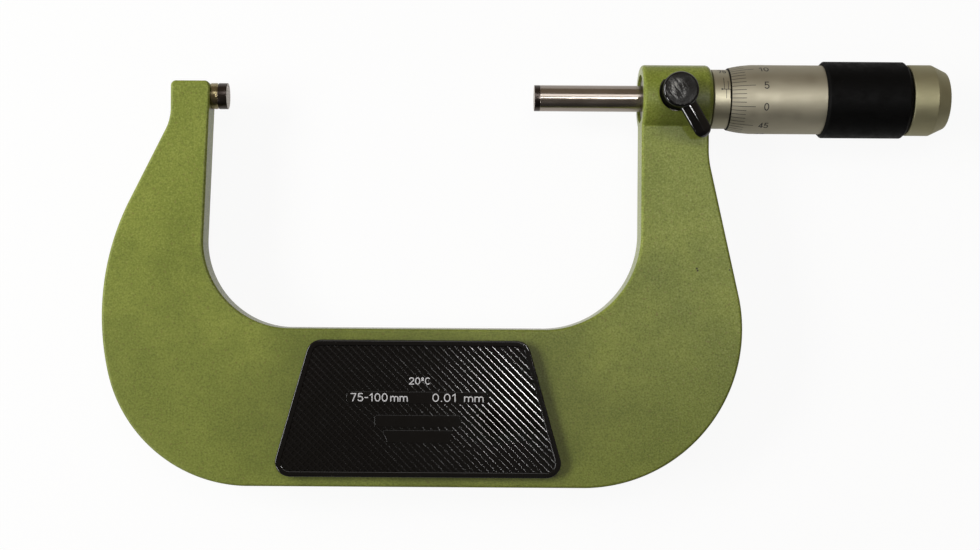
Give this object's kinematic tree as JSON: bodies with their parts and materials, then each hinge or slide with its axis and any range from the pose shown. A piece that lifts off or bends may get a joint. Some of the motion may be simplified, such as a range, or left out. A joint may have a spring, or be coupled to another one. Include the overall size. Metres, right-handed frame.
{
  "type": "outside micrometer",
  "caption": "Outside micrometer with a deep U frame, insulated grip, carbide faces, graduated thimble, friction sleeve and spindle lock lever, opened just past its smallest size.",
  "frame": {"origin": "centre of the anvil's measuring face", "axes": "+X from the anvil towards the thimble along the spindle axis, +Y from the web up to the spindle, +Z out of the front face, lying on its back"},
  "size_m": [0.2095, 0.1065, 0.0225],
  "materials": {
    "frame_enamel": "olive green structured enamel, satin",
    "hardened_steel": "ground and lapped",
    "carbide": "lapped dark carbide",
    "plain_steel": "turned",
    "spring_steel": "blued",
    "satin_chrome": "matt chrome plating",
    "plate_plastic": "black moulding with diamond grip pattern",
    "grip_plastic": "black, matt",
    "lever_moulding": "black, polished",
    "brass": "turned"
  },
  "bodies": {
    "frame": {"frame": "frame_enamel", "anvil": "hardened_steel", "anvil_tip": "carbide", "inner_sleeve": "plain_steel", "graduated_sleeve": "satin_chrome", "adjusting_nut": "plain_steel", "front_insulating_plate": "plate_plastic", "rear_insulating_plate": "plate_plastic", "lever_washer": "spring_steel"},
    "spindle_carriage": {"spindle_tip": "carbide"},
    "thimble": {"spindle": "hardened_steel", "thimble": "satin_chrome", "clamp_hub": "plain_steel", "friction_spring": "spring_steel", "end_cap": "satin_chrome", "thrust_washer": "brass"},
    "friction_sleeve": {"friction_sleeve": "grip_plastic", "friction_ring": "plain_steel"},
    "lock_pad": {"lock_pad": "brass"},
    "lock_lever": {"lock_screw": "plain_steel", "lock_lever": "lever_moulding"}
  },
  "joints": [
    {"name": "spindle_feed", "type": "slide", "parent": "frame", "child": "spindle_carriage", "axis": [1, 0, 0], "range_m": [-0.00154, 0.02346]},
    {"name": "thimble_turn", "type": "hinge", "parent": "spindle_carriage", "child": "thimble", "pos_m": [0.07654, 0, 0], "axis": [1, 0, 0], "range_deg": [-1111.69, 16888.33]},
    {"name": "friction_sleeve_turn", "type": "hinge", "parent": "thimble", "child": "friction_sleeve", "pos_m": [0.07654, 0, 0], "axis": [1, 0, 0], "continuous": true},
    {"name": "lock_feed", "type": "slide", "parent": "frame", "child": "lock_pad", "axis": [0, 0, 1], "range_m": [-0.00008333, 0.00004166]},
    {"name": "lever_turn", "type": "hinge", "parent": "lock_pad", "child": "lock_lever", "pos_m": [0.1114, 0.00085, 0], "axis": [0, 0, 1], "range_deg": [-60, 30]}
  ],
  "couplings": [
    {"joint": "thimble_turn", "follows": "spindle_feed", "rad_per_m": 12566},
    {"joint": "lever_turn", "follows": "lock_feed", "rad_per_m": 12566}
  ]
}
